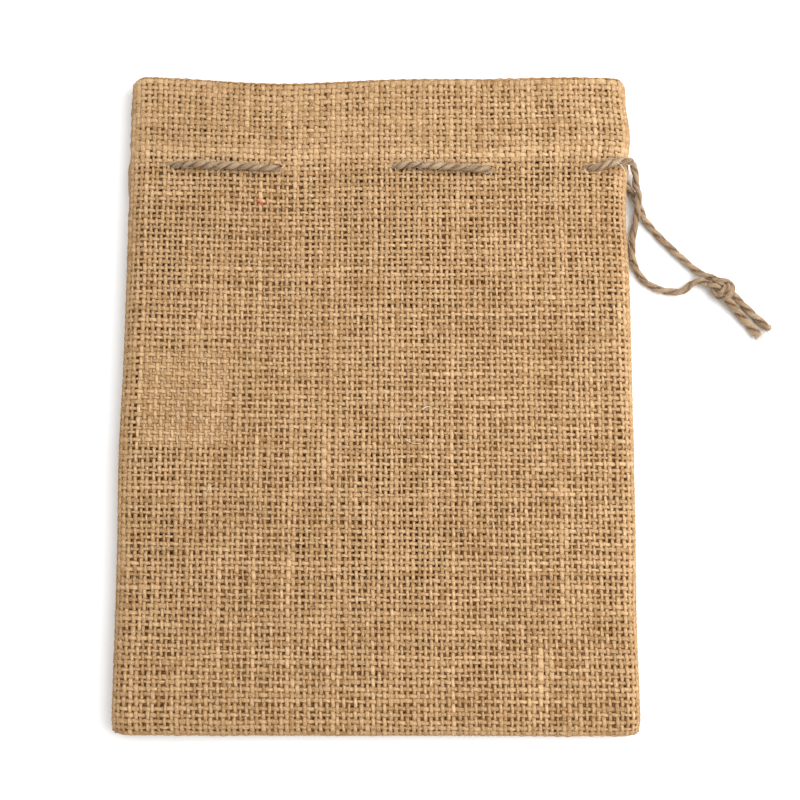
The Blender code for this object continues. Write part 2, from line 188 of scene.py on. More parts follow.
def hessianFinish(name, length, yarns):
    # length of the yarns and how many share the strip map
    look = hessianLook
    finish = Finish(name, roughness=0.95, sheen=0.04, specular=0.12)
    tone = finish.attribute("tone")
    crown = finish.attribute("crown")
    inside = finish.attribute("inside")
    along, over = finish.strip()
    runMm = along * (length * 1000)
    twist = finish.vector(runMm * 0.45, over * (yarns * 5.0) + runMm * 1.1, tone * 20)
    fibres = finish.noise(twist, 1.0, 3.0, 0.65)
    patches = finish.noise(finish.vector(runMm * 0.16, over * (yarns * 1.2), 3.0), 1.0, 2.0)
    cloud = finish.noise(finish.place(), 60.0, 3.0)
    grain = finish.noise(finish.place(), 1900.0, 2.0, 0.6)
    share = (fibres - 0.5) * 1.5 + (patches - 0.5) * 0.5 + (cloud - 0.5) * 0.35 + (grain - 0.5) * 1.6 + tone
    body = finish.mix(share, look["dark"], look["light"])
    # painted shade: where a yarn dips under the crossing yarns (low crown) its colour is darkened towards
    # the under colour, so the crowns read lighter
    lit = finish.mix(crown, finish.mix(0.38, body, look["under"]), body)
    # painted shade: by the inside value, the sides of each yarn are darkened towards the flank colour
    lit = finish.mix(inside * 0.85, lit, look["flankShade"])
    # painted light: the faces that look into the pouch get the brighter inside colour
    lit = finish.mix(inside.above(0.9, 0.1), lit, look["inside"])
    pale = finish.noise(finish.vector(runMm * 0.35, over * (yarns * 9.0) + runMm * 0.6, 9.0), 1.0, 2.0)
    bleached = finish.mix(pale.above(0.68, 0.03) * 0.65, lit, look["pale"])
    bark = finish.noise(finish.place(), 420.0, 1.0)
    finish.colour(finish.mix(bark.above(0.79, 0.02) * 0.7, bleached, look["fleck"]))
    finish.bump(fibres + pale * 0.4, 0.00022)
    return finish.material


twineLook = {
    "dark": (0.20, 0.112, 0.052),
    "light": (0.52, 0.375, 0.225),
    # dark fibre streaks, and painted shade in the grooves between the plies
    "groove": (0.13, 0.060, 0.021),
    "pale": (0.68, 0.58, 0.44),
}


def twineFinish(name, length):
    look = twineLook
    finish = Finish(name, roughness=0.88, sheen=0.15, specular=0.22)
    tone = finish.attribute("tone")
    groove = finish.attribute("inside")
    along, over = finish.strip()
    runMm = along * (length * 1000)
    fibres = finish.noise(finish.vector(runMm * 0.33, over * 46.0 + runMm * 0.35, tone * 9), 1.0, 3.0, 0.6)
    cloud = finish.noise(finish.place(), 90.0, 3.0)
    share = (fibres - 0.5) * 2.0 + (cloud - 0.5) * 0.8 + tone
    body = finish.mix(share, look["dark"], look["light"])
    streaks = finish.noise(finish.vector(runMm * 0.45, over * 70.0 + runMm * 0.35, 7.0), 1.0, 3.0, 0.65)
    body = finish.mix(streaks.above(0.58, 0.05) * 0.6, body, look["groove"])
    # painted shade: each ply's inward face, in the groove between the plies, is darkened towards the groove
    # colour
    shaded = finish.mix(groove * 0.85, body, look["groove"])
    pale = finish.noise(finish.vector(runMm * 0.25, over * 80.0 + runMm * 0.3, 4.0), 1.0, 2.0)
    finish.colour(finish.mix(pale.above(0.66, 0.04) * 0.6, shaded, look["pale"]))
    finish.bump(fibres + pale * 0.5, 0.00030)
    return finish.material


def fibreFinish(name, dark, light):
    # loose hairs and sewing thread
    finish = Finish(name, roughness=0.8, sheen=0.1, specular=0.3)
    tone = finish.attribute("tone")
    spots = finish.noise(finish.place(), 500.0, 2.0)
    share = tone + (spots - 0.5) * 0.6
    finish.colour(finish.mix(share, dark, light))
    finish.bump(spots, 0.00005)
    return finish.material


# Tubes: every yarn, ply, thread and hair is one

def unit(vectors):
    return vectors / np.maximum(np.linalg.norm(vectors, axis=-1, keepdims=True), 1e-12)


def addTubes(name, centres, upward, wide, thick, sides, looks, material):
    # centres and upward are (tubes, rings, 3); wide, thick and the looks are (tubes, rings)
    count, rings = centres.shape[:2]
    bm = bmesh.new()
    bm.loops.layers.uv.new("OFBake")
    strips = count * (sides + 1) - 1
    bmesh.ops.create_grid(bm, x_segments=rings - 1, y_segments=strips, size=0.5, calc_uvs=True)
    between = [face for face in bm.faces if face.index // (rings - 1) % (sides + 1) == sides]
    bmesh.ops.delete(bm, geom=between, context="FACES")
    mesh = bpy.data.meshes.new(name)
    bm.to_mesh(mesh)
    bm.free()

    tangent = unit(np.gradient(centres, axis=1))
    across = unit(np.cross(tangent, upward))
    lift = np.cross(across, tangent)
    angle = np.linspace(0, 2 * math.pi, sides + 1)
    sideways = np.cos(angle)[None, :, None, None] * (across * wide[..., None])[:, None]
    upwards = np.sin(angle)[None, :, None, None] * (lift * thick[..., None])[:, None]
    places = centres[:, None] + sideways + upwards
    mesh.vertices.foreach_set("co", places.astype(np.float32).ravel())
    # inside is 0 on a tube's top and rises round its sides to 1 on its underside; the finishes paint shade
    # and light by it
    inside = np.clip(0.62 - 0.95 * np.sin(angle), 0, 1)[None, :, None]
    for key, values in {**looks, "inside": inside}.items():
        values = np.broadcast_to(values[:, None] if values.ndim == 2 else values, places.shape[:3])
        attribute = mesh.attributes.new(key, "FLOAT", "POINT")
        attribute.data.foreach_set("value", values.astype(np.float32).ravel())

    bm = bmesh.new()
    bm.from_mesh(mesh)
    bmesh.ops.remove_doubles(bm, verts=bm.verts, dist=1e-7)
    ends = [edge for edge in bm.edges if edge.is_boundary]
    bmesh.ops.holes_fill(bm, edges=ends, sides=sides)
    bmesh.ops.recalc_face_normals(bm, faces=bm.faces)
    bm.to_mesh(mesh)
    bm.free()
    mesh.shade_smooth()
    mesh.materials.append(material)
    piece = bpy.data.objects.new(name, mesh)
    bpy.context.scene.collection.objects.link(piece)
    return piece


def drift(random, count, rings, knots, size):
    # smooth random values along each tube
    marks = random.normal(0, size, (count, knots + 3))
    t = np.linspace(0, knots, rings)
    k = np.minimum(t.astype(int), knots - 1)
    f = t - k
    a, b, c, d = (marks[:, k + n] for n in range(4))
    return ((1 - f) ** 3 * a + (3 * f ** 3 - 6 * f ** 2 + 4) * b
            + (-3 * f ** 3 + 3 * f ** 2 + 3 * f + 1) * c + f ** 3 * d) / 6 * 1.6


# Pouch cloth

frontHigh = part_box("front_panel")[1]
halfWidth, halfHeight = frontHigh.x, frontHigh.y
seamZ = frontHigh.z / 2

pouch = {
    "edgeRound": 0.007,         # width of the rounded strip beside each seam
    "cornerCut": 0.30,          # 0 leaves the corners square
    "seamGap": 0.0,             # the two rims meet where they are sewn
    "clothMiddle": {1: 0.00045, -1: 0.00130},   # from the outer face to the middle of the yarns
    "hemDepth": 0.032,
    "hemOffset": 0.0019,
    "topCornerDrop": 0.0026,
    "ridgeY": 0.088, "ridgeFlat": 0.0034, "ridgeSlope": 0.0062, "ridgeHeight": 0.00325,
    "wave": 0.00022,            # gentle ups and downs of the flat faces
}

weave = {
    "warpPitch": 0.002176, "weftPitch": 0.00236,
    "warpWide": 0.00070, "weftWide": 0.00075,       # half of a yarn's width
    "thick": 0.00033,                               # half of its thickness
    "crimp": 0.00027,                               # how far it rises and dips at a crossing
    "lean": 0.00014,                                # slant of a yarn as it goes over a crossing
    "wander": 0.00015,
    "snug": 0.35,                                   # how much fuller the yarns are round the edges
    "backFuller": 1.25,                             # the back cloth is beaten up closer
    "hemFuller": 0.22,                              # and over the turned-in hem
    "seamFuller": 0.42,                             # and along the hem's sewn edge
    "seamRise": 0.0307,                             # that edge, down the cloth from the fold
    "hemStep": 0.003,                               # over what length the hem's fullness starts
    "seamBand": 0.0026,                             # how tall the fuller strip is
    "palerBand": 0.0022, "seamPaler": 0.22,         # the paler strip in it
    "sides": 6,
}

edgeBulges = [  # side, y, how far out, over what length
    (-1, -0.024, 0.0008, 0.026), (1, 0.106, 0.0016, 0.009),
    (1, 0.071, -0.0009, 0.017), (1, -0.086, -0.0005, 0.020),
]
topWaves = [    # x, how far up, over what length
    (-0.038, -0.0021, 0.030), (0.082, 0.0009, 0.026), (-0.092, 0.0006, 0.010), (0.0, -0.0019, 1.0),
]

stitchLine = {"frontY": 0.091, "backY": 0.087, "holeWide": 0.0028, "holeTall": 0.0014}
frontHoles = (-0.0800, -0.0402, 0.0077, 0.0441, 0.0846)
backHoles = (-0.062, -0.018, 0.022, 0.058, 0.080)

edgeArc = math.pi / 2 * math.sqrt((pouch["edgeRound"] ** 2 + seamZ ** 2) / 2)
clothHalf = halfWidth - pouch["edgeRound"] + edgeArc
foldRadius = pouch["hemOffset"] / 2
foldStart = edgeArc + 2 * halfHeight - pouch["edgeRound"] - foldRadius
clothTall = foldStart + math.pi * foldRadius + pouch["hemDepth"] - foldRadius


def bell(distance, size):
    return np.exp(-(distance / size) ** 2)


def clothPlace(side, u, s):
    # u runs across from the middle, s up from the bottom seam, over the fold and down the hem
    p = pouch
    flatX = halfWidth - p["edgeRound"]
    turnX = np.clip((np.abs(u) - flatX) / edgeArc, 0, 1) * math.pi / 2
    turnY = np.clip(1 - s / edgeArc, 0, 1) * math.pi / 2
    shareX, shareY = np.sin(turnX), np.sin(turnY)
    turn = np.clip((s - foldStart) / foldRadius, 0, math.pi)
    down = np.clip(s - foldStart - math.pi * foldRadius, 0, None)
    offset = foldRadius * (1 - np.cos(turn))
    y = np.minimum(s - edgeArc - halfHeight + p["edgeRound"], halfHeight - foldRadius)
    y = y + foldRadius * np.sin(turn) - down
    reachY = shareY * np.sqrt(1 - p["cornerCut"] * shareX ** 2)
    y = np.where(s < edgeArc, -halfHeight + p["edgeRound"] * (1 - reachY), y)
    reachX = shareX * np.sqrt(1 - p["cornerCut"] * shareY ** 2)
    x = np.sign(u) * (np.minimum(np.abs(u), flatX) + (p["edgeRound"] - offset) * reachX)

    lift = 0.0
    if side < 0:
        away = np.clip((np.abs(y - p["ridgeY"]) - p["ridgeFlat"]) / p["ridgeSlope"], 0, 1)
        lift = p["ridgeHeight"] * 0.5 * (1 + np.cos(math.pi * away))
    height = seamZ - p["clothMiddle"][side] - lift - offset
    gap = p["seamGap"] / 2
    z = gap + (height - gap) * np.cos(turnX) * np.cos(turnY)

    wave = np.sin(61 * x + 1.3) * np.sin(47 * y + 0.4) + 0.5 * np.sin(130 * x + 90 * y)
    z = seamZ + side * (z + p["wave"] * wave * np.cos(turnX) * np.cos(turnY))
    x, y = settleOutline(x, y, shareX)
    x, y = openHoles(side, x, y, offset)
    return np.stack(np.broadcast_arrays(x, y, z), axis=-1)


def settleOutline(x, y, shareX):
    # the outline isn't quite straight
    across = x / halfWidth
    for side, at, size, length in edgeBulges:
        x = x + side * size * bell(y - at, length) * np.clip(across * side, 0, 1) ** 3
    up = np.clip((y + halfHeight) / (2 * halfHeight), 0, 1) ** 4
    for at, size, length in topWaves:
        y = y + size * bell(x - at, length) * up
    corner = np.clip((y - halfHeight + 0.010) / 0.010, 0, 1) ** 2
    return x, y - pouch["topCornerDrop"] * shareX ** 4 * corner


def openHoles(side, x, y, offset):
    # the drawstring pushes the yarns apart where it passes through
    lineY = stitchLine["frontY"] if side > 0 else stitchLine["backY"]
    outer = offset < foldRadius
    for at in frontHoles if side > 0 else backHoles:
        dx = (x - at) / stitchLine["holeWide"]
        dy = (y - lineY) / stitchLine["holeTall"]
        away = np.sqrt(dx ** 2 + dy ** 2) + 1e-6
        pushed = np.where(outer, np.sqrt(away ** 2 + np.exp(-0.45 * away ** 2)) / away, 1)
        x = at + dx * pushed * stitchLine["holeWide"]
        y = lineY + dy * pushed * stitchLine["holeTall"]
    return x, y


def clothFrame(side, u, s):
    # place and outward direction of the cloth
    step = 0.0003
    place = clothPlace(side, u, s)
    acrossWay = clothPlace(side, u + step, s) - clothPlace(side, u - step, s)
    upWay = clothPlace(side, u, s + step) - clothPlace(side, u, s - step)
    return place, side * unit(np.cross(acrossWay, upWay))


def snugness(u, s):
    # 1 where the cloth is pressed round the sides, the bottom and the fold at the mouth
    side = np.clip((np.abs(u) - clothHalf + edgeArc * 0.9) / (edgeArc * 0.5), 0, 1)
    bottom = np.clip(1.2 - s / (edgeArc * 0.7), 0, 1)
    fold = bell(s - foldStart - math.pi / 2 * foldRadius, 0.0032)
    return np.maximum(np.maximum(side, bottom), fold)


def stations(first, last, pitch):
    # two rings at each crossing, so that a yarn is flat on top and slopes between
    crossings = (np.arange(first, last) + 0.5) * pitch
    return np.sort(np.concatenate([crossings - 0.2 * pitch, crossings + 0.2 * pitch]))


warpSide = round(clothHalf / weave["warpPitch"])
weftCount = int(clothTall / weave["weftPitch"])

thickYarns = [  # u, from, to along the warp, how much wider
    (-0.0196, 0.088, 0.124, 0.75), (0.0630, 0.012, 0.040, 0.7), (0.0655, 0.020, 0.035, 0.5),
    (-0.0460, 0.150, 0.190, 0.35), (0.0310, 0.190, 0.230, 0.35),
]


def panelLines(warp):
    # numbers of a panel's warps or wefts, and where they meet the others
    if warp:
        return np.arange(-warpSide, warpSide), stations(0, weftCount, weave["weftPitch"])
    half = stations(0, warpSide, weave["warpPitch"])
    return np.arange(weftCount), np.concatenate([-half[::-1], [0.0], half])


def patchLines(warp):
    p = patch
    warps = (round(p["left"] / weave["warpPitch"]), round(p["right"] / weave["warpPitch"]))
    wefts = (round(p["low"] / weave["weftPitch"]), round(p["high"] / weave["weftPitch"]))
    if warp:
        return np.arange(*warps), stations(*wefts, weave["weftPitch"])
    return np.arange(*wefts), stations(*warps, weave["warpPitch"])


def spinYarns(side, kind, seed, lines=panelLines, shift=0.0, depth=0.0, fuller=1.0):
    # every warp or weft of one panel, or of the patch that lies deeper inside
    random = np.random.default_rng(seed)
    w = weave
    warp = kind == "warps"
    numbers, run = lines(warp)
    line = (numbers + 0.5) * w["warpPitch" if warp else "weftPitch"]
    pitch = w["weftPitch" if warp else "warpPitch"]
    count, rings = len(line), len(run)
    phase = math.pi * (run[None] / pitch - 0.5) + math.pi * numbers[:, None]
    up = np.clip(1.3 * np.cos(phase), -1, 1) * (1 if warp else -1)
    knots = rings // 9
    sideways = -w["lean"] * np.sin(phase) * (1 if warp else -1)
    sideways = sideways + drift(random, count, rings, knots, w["wander"])
    sideways = sideways + random.normal(0, w["wander"] * 0.55, (count, 1))
    sideways = sideways + random.normal(0, w["wander"] * 0.2, (count, rings))
    wide = 1 + random.normal(0, 0.08, (count, 1)) + drift(random, count, rings, rings // 4, 0.13)
    wide = wide + random.normal(0, 0.05, (count, rings))
    tone = 0.5 + random.normal(0, 0.07, (count, 1)) + drift(random, count, rings, knots, 0.10)
    tone = tone + random.normal(0, 0.10, (count, rings))
    if warp and side > 0:
        for at, start, end, gain in thickYarns:
            row = int(np.argmin(np.abs(line - at)))
            share = bell(run - (start + end) / 2, (end - start) / 2)
            wide[row] += gain * share
            tone[row] += 0.28 * share
    base = np.broadcast_to(line[:, None], phase.shape)
    u, s = (base + sideways, np.broadcast_to(run, phase.shape)) if warp else (
        np.broadcast_to(run, phase.shape), base + sideways)
    if warp:
        u = u + 0.5 * pitch * np.clip((s - foldStart) / (math.pi * foldRadius), 0, 1)
    u, s = u + shift * w["warpPitch"], s + shift * w["weftPitch"]
    snug = snugness(u, s)
    place, outward = clothFrame(side, u, s)
    place = place - outward * depth
    crimp = w["crimp"] * (1 + drift(random, count, rings, knots, 0.12)) * (1 - 0.55 * snug)
    centres = place + outward * (up * crimp)[..., None]
    wide = np.clip(wide, 0.65, 2.2) * (1 + w["snug"] * snug) * fuller
    hem = foldStart - s
    onHem = np.clip((w["seamRise"] - hem) / w["hemStep"], 0, 1) * (hem > -foldRadius)
    wide = wide * (1 + w["hemFuller"] * onHem)
    wide = wide * (1 + w["seamFuller"] * bell(hem - w["seamRise"], w["seamBand"]) * (side > 0))
    tone = tone + w["seamPaler"] * bell(hem - w["seamRise"], w["palerBand"]) * (side > 0)
    halfWide = (w["warpWide"] if warp else w["weftWide"]) * wide
    thick = w["thick"] * (1 + 0.3 * (wide - 1))
    # crown is 1 on top of a crossing and 0 where the yarn dips under; the hessian finish paints shade by it
    looks = {"tone": tone, "crown": 0.5 + 0.5 * up}
    return {"centres": centres, "upward": outward, "wide": halfWide, "thick": thick, "looks": looks}


def cutYarns(yarns, rows, columns):
    looks = {key: values[rows, columns] for key, values in yarns["looks"].items()}
    cut = {key: yarns[key][rows, columns] for key in ("centres", "upward", "wide", "thick")}
    return {**cut, "looks": looks}


warpFinish = hessianFinish("hessian warps", clothTall, warpSide)
weftFinish = hessianFinish("hessian wefts", clothHalf, weftCount)
frontPieces = {"left": [], "right": []}


def weavePanel(side, seed):
    panel = "front" if side > 0 else "back"
    fuller = weave["backFuller"] if side < 0 else 1.0
    warps = spinYarns(side, "warps", seed, fuller=fuller)
    wefts = spinYarns(side, "wefts", seed + 1, fuller=fuller)
    middle = warps["centres"].shape[0] // 2
    centre = wefts["centres"].shape[1] // 2
    every = slice(None)
    for hand, rows, columns in (("left", slice(0, middle), slice(0, centre + 1)),
                                ("right", slice(middle, None), slice(centre, None))):
        for kind, part, finish in (("warps", cutYarns(warps, rows, every), warpFinish),
                                   ("wefts", cutYarns(wefts, every, columns), weftFinish)):
            name = f"{panel}_{kind}_{hand}"
            piece = addTubes(name, sides=weave["sides"], material=finish, **part)
            other = "back_panel" if side > 0 else "front_panel"
            if side > 0:
                frontPieces[hand].append(piece)
            else:
                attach(piece, "back")
            if kind == "warps" and hand == "left":
                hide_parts(f"{panel}_panel")
    print(f"{panel} panel woven")


patchLow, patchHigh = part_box("inner_patch")
patch = {
    "left": patchLow.x, "right": patchHigh.x,
    "low": patchLow.y + halfHeight - pouch["edgeRound"] + edgeArc,
    "high": patchHigh.y + halfHeight - pouch["edgeRound"] + edgeArc,
    "depth": 0.00075,           # inwards from the front panel's middle
    "shift": 0.5,               # its yarns show in the gaps of the front ones
    # paler: painted light, the patch's yarns made paler to stand in for light reaching them through the
    # front cloth
    "fuller": 1.3, "paintedLightPaler": 1.1,
}


def weavePatch():
    for kind, finish in (("warps", warpFinish), ("wefts", weftFinish)):
        yarns = spinYarns(1, kind, 37, patchLines, patch["shift"], patch["depth"], patch["fuller"])
        # painted light: the patch yarns, shaded by the front cloth, are made paler
        yarns["looks"]["tone"] = yarns["looks"]["tone"] + patch["paintedLightPaler"]
        piece = addTubes(f"patch_{kind}", sides=weave["sides"], material=finish, **yarns)
        frontPieces["left"].append(piece)
        if kind == "warps":
            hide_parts("inner_patch")


weavePanel(1, 11)
weavePanel(-1, 23)
weavePatch()


# Drawstring: one cord all the way, two plies twisted together

drawstring = {
    "diameter": 0.0028,
    "plyOffset": 0.00062, "plyWide": 0.00106, "plyThick": 0.00086,
    "twist": -0.0092,           # length of one full turn of the plies; minus turns it the other way
    "looseTwist": 0.68,         # share of the twist that is left where the cord hangs free
    "spacing": 0.0004,
    "sides": 9,
    "frontY": stitchLine["frontY"], "backY": stitchLine["backY"], "dive": 0.012,
    "frontOut": 0.01195, "frontIn": 0.00765, "backIn": 0.0058, "onTable": 0.0015,
    "frontStitches": (frontHoles[0:2], frontHoles[2:4]), "frontLast": frontHoles[4],
    "frontTilt": 0.0007, "twistGap": 0.0005, "neckStart": 0.0046, "neckLength": 0.0139,
    "backStitches": (backHoles[0:2], backHoles[2:4]), "backLast": backHoles[4],
    "tailGap": 0.0004,          # between the two tails, and between the strands at the knot
    "strandReach": 0.0062,      # from the knot's middle to where the strands come to it
    "freeFrom": 0.004, "freeOver": 0.006,       # in from the edge, where the twist starts to slacken
}


def dive(holeX, lineY, fromZ, toZ):
    half = drawstring["dive"] / 2
    shares = ((-1, 0.0), (-0.5, 0.147), (0, 0.5), (0.5, 0.853), (1, 1.0))
    return [(holeX + half * k, lineY, fromZ + (toZ - fromZ) * share) for k, share in shares]


def backRun():
    d = drawstring
    y, inZ, outZ = d["backY"], d["backIn"], d["onTable"]
    starts = [start for start, end in d["backStitches"]] + [d["backLast"]]
    points = []
    for number, (start, end) in enumerate(d["backStitches"]):
        points += dive(start, y, inZ, outZ)
        points.append(((start + end) / 2, y, outZ))
        points += dive(end, y, outZ, inZ)
        following = starts[number + 1]
        if following - end > 1.5 * d["dive"]:
            points.append(((end + following) / 2, y, inZ))
    points += dive(d["backLast"], y, inZ, outZ)
    return points + [(halfWidth - 0.0085, y + 0.0007, outZ)]


def leftTurn():
    d = drawstring
    x, y, inZ, frontIn = -halfWidth, d["frontY"], d["backIn"], d["frontIn"]
    return [
        (x + 0.0260, d["backY"], inZ), (x + 0.0210, d["backY"] - 0.0008, inZ),
        (x + 0.0160, y - 0.0072, inZ), (x + 0.0110, y - 0.0084, inZ),
        (x + 0.0070, y - 0.0068, inZ + 0.0001), turnPoint,
        (x + 0.0070, y + 0.0012, frontIn - 0.0001), (x + 0.0110, y + 0.0026, frontIn + 0.0002),
        (x + 0.0150, y + 0.0016, frontIn + 0.0010),
    ]


def frontRun():
    d = drawstring
    y, inZ, outZ = d["frontY"], d["frontIn"], d["frontOut"]
    half = d["dive"] / 2
    first = d["frontStitches"][0][0]
    starts = [start for start, end in d["frontStitches"]] + [d["frontLast"]]
    tilt = d["frontTilt"]
    points = [(first, y + tilt, (inZ + outZ) / 2 + 0.0003),
              (first + half / 2, y + tilt, outZ - 0.0005), (first + half, y + tilt, outZ)]
    for number, (start, end) in enumerate(d["frontStitches"]):
        if number:
            points += dive(start, y + tilt, inZ, outZ)
        points.append(((start + end) / 2, y, outZ))
        points += dive(end, y - tilt, outZ, inZ)
        points.append(((end + starts[number + 1]) / 2, y, inZ))
    points += dive(d["frontLast"], y, inZ, outZ)[:4]
    return points + [(halfWidth - 0.0096, y + 0.0008, outZ - 0.0001)]


def neckPoints(strand):
    # half a turn of one strand round the other; strand is 1 for the upper one
    d = drawstring
    spread = (d["diameter"] + d["twistGap"]) / 2
    points = []
    for share in (0.0, 0.25, 0.5, 0.75, 1.0):
        angle = math.radians(20 + 145 * share)
        x = halfWidth + 0.0029 + 0.0049 * share - 0.0018 * share ** 2
        y = d["frontY"] - d["neckStart"] - d["neckLength"] * share
        z = d["onTable"] + (2 * spread * math.sin(angle) if strand > 0 else 0)
        points.append((x + strand * spread * math.cos(angle), y, z))
    return points


def knotPoint(along, across, up):
    place = np.array((knotPlace[0], knotPlace[1], 0.0)) + knotAlong * along + knotAcross * across
    return (place[0], place[1], up)


def strandEnd(share):
    # where a strand meets the knot; share is its place across the two strands
    d = drawstring
    return knotPoint(-d["strandReach"], share * (d["diameter"] + d["tailGap"]), d["onTable"] + 0.0017)


def loopStrand():
    x, y, z = halfWidth, drawstring["frontY"], drawstring["onTable"]
    start = [(x + 0.0033, y + 0.0018, seamZ - 0.0001), (x + 0.0043, y - 0.0012, z + 0.0020)]
    loop = [
        (x + 0.0032, y - 0.0234, z + 0.0002), (x + 0.0025, y - 0.0290, z),
        (x + 0.0026, y - 0.0346, z), (x + 0.0042, y - 0.0398, z),
        (x + 0.0073, y - 0.0442, z), (x + 0.0118, y - 0.0471, z),
        (x + 0.0172, y - 0.0484, z), (x + 0.0224, y - 0.0482, z),
        (x + 0.0260, y - 0.0453, z + 0.0002), (x + 0.0290, y - 0.0445, z + 0.0009),
        strandEnd(-0.75),
    ]
    return start + neckPoints(1) + loop


def straightStrand():
    x, y, z = halfWidth, drawstring["frontY"], drawstring["onTable"]
    backY = drawstring["backY"]
    start = [(x - 0.0014, backY + 0.0022, z), (x + 0.0006, backY + 0.0006, z)]
    straight = [
        (x + 0.0098, y - 0.0214, z), (x + 0.0134, y - 0.0256, z),
        (x + 0.0182, y - 0.0306, z), (x + 0.0236, y - 0.0359, z + 0.0001),
        (x + 0.0289, y - 0.0407, z + 0.0008),
        strandEnd(0.25),
    ]
    return start + neckPoints(-1) + straight


knotLow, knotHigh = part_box("drawstring_knot")
knotPlace = ((knotLow.x + knotHigh.x) / 2, (knotLow.y + knotHigh.y) / 2, (knotLow.z + knotHigh.z) / 2)
knotAlong = np.array((0.692, -0.722, 0.0)) / np.linalg.norm((0.692, -0.722))
knotAcross = np.array((-knotAlong[1], knotAlong[0], 0.0))
turnPoint = (-halfWidth + 0.0052, 0.0882, (drawstring["frontIn"] + drawstring["backIn"]) / 2)
underEdge = (halfWidth - 0.0040, drawstring["backY"] + 0.0024, drawstring["onTable"])
edgeTop = (halfWidth - 0.0058, drawstring["frontY"] + 0.0019, drawstring["frontOut"] - 0.0002)
edgeSide = (halfWidth + 0.0022, drawstring["frontY"] + 0.0032, seamZ + 0.0024)


def edgeBend():
    clear = drawstring["diameter"] / 2 + 0.00065
    turn = math.radians(45)
    x = halfWidth - pouch["edgeRound"] * (1 - math.sin(turn)) + 0.52 * clear
    z = seamZ + 0.0005 + (seamZ - 0.0005) * math.cos(turn) + 0.85 * clear
    return x, drawstring["frontY"] + 0.0029, z


def smoothRoute(points, spacing):
    # evenly spaced points on one smooth curve through the given ones
    pts = np.array(points, float)
    pts = np.concatenate([[2 * pts[0] - pts[1]], pts, [2 * pts[-1] - pts[-2]]])
    t = np.linspace(0, 1, 24, endpoint=False)[:, None]
    spans = []
    for a, b, c, d in zip(pts, pts[1:], pts[2:], pts[3:]):
        spans.append(0.5 * (2 * b + (c - a) * t + (2 * a - 5 * b + 4 * c - d) * t ** 2
                            + (3 * b - a - 3 * c + d) * t ** 3))
    dense = np.concatenate(spans + [pts[-2:-1]])
    run = np.concatenate([[0], np.cumsum(np.linalg.norm(np.diff(dense, axis=0), axis=1))])
    even = np.linspace(0, run[-1], max(3, round(run[-1] / spacing)))
    return np.stack([np.interp(even, run, dense[:, k]) for k in range(3)], axis=1)


def routeFrame(route):
    # two directions across the route that turn as little as they can
    tangent = unit(np.gradient(route, axis=0))
    first = [unit(np.cross(tangent[0], (0.0, 0.0, 1.0)))]
    for way in tangent[1:]:
        last = first[-1]
        first.append(unit(last - way * np.dot(last, way)))
    first = np.array(first)
    return tangent, first, np.cross(tangent, first)


def twistPlies(route, seed, untwist=1.0):
    # the two plies of a stretch of cord
    d = drawstring
    random = np.random.default_rng(seed)
    tangent, first, second = routeFrame(route)
    run = np.concatenate([[0], np.cumsum(np.linalg.norm(np.diff(route, axis=0), axis=1))])
    rings = len(route)
    free = np.clip((route[:, 0] - halfWidth + d["freeFrom"]) / d["freeOver"], 0, 1)
    rate = 1 - (1 - d["looseTwist"]) * free
    turn = 2 * math.pi / d["twist"] * np.cumsum(rate) * run[-1] / (rings - 1)
    centres, upward = [], []
    for ply in range(2):
        angle = turn + math.pi * ply
        radial = np.cos(angle)[:, None] * first + np.sin(angle)[:, None] * second
        centres.append(route + radial * d["plyOffset"] * untwist)
        upward.append(radial)
    wide = d["plyWide"] * (1 + drift(random, 2, rings, max(2, rings // 14), 0.07))
    thick = d["plyThick"] * (1 + drift(random, 2, rings, max(2, rings // 14), 0.06))
    tone = 0.5 + drift(random, 2, rings, max(2, rings // 10), 0.12)
    return {"centres": np.array(centres), "upward": np.array(upward), "wide": wide, "thick": thick,
            "looks": {"tone": tone}}


def nearest(route, place):
    return int(np.argmin(np.linalg.norm(route - np.array(place), axis=1)))


twinePaint = twineFinish("jute twine", 0.1)
cordPieces = {}


def layDrawstring():
    points = straightStrand()[::-1] + [underEdge] + backRun()[::-1] + leftTurn() + frontRun()
    points += [edgeTop, edgeBend(), edgeSide] + loopStrand()
    route = smoothRoute(points, drawstring["spacing"])
    # where the front run, and not the back one, passes the middle of the pouch
    middle = np.where(route[:, 2] > drawstring["frontIn"] - 0.0003)[0]
    middle = int(middle[np.argmin(np.abs(route[middle, 0] + 0.0001) + 10 * (route[middle, 1] < 0.0885))])
    cuts = [0, nearest(route, underEdge), nearest(route, turnPoint), middle,
            nearest(route, edgeTop), len(route) - 1]
    plies = twistPlies(route, 5)
    names = ("drawstring_straight_twine", "drawstring_back_twine", "drawstring_front_twine_left",
             "drawstring_front_twine_right", "drawstring_loop_twine")
    for name, start, end in zip(names, cuts, cuts[1:]):
        part = cutYarns(plies, slice(None), slice(start, end + 1))
        piece = addTubes(name, sides=drawstring["sides"], material=twinePaint, **part)
        cordPieces[name] = {"piece": piece, "route": route[start:end + 1]}


layDrawstring()
print("drawstring laid")


# Knot, tails and loose fibres

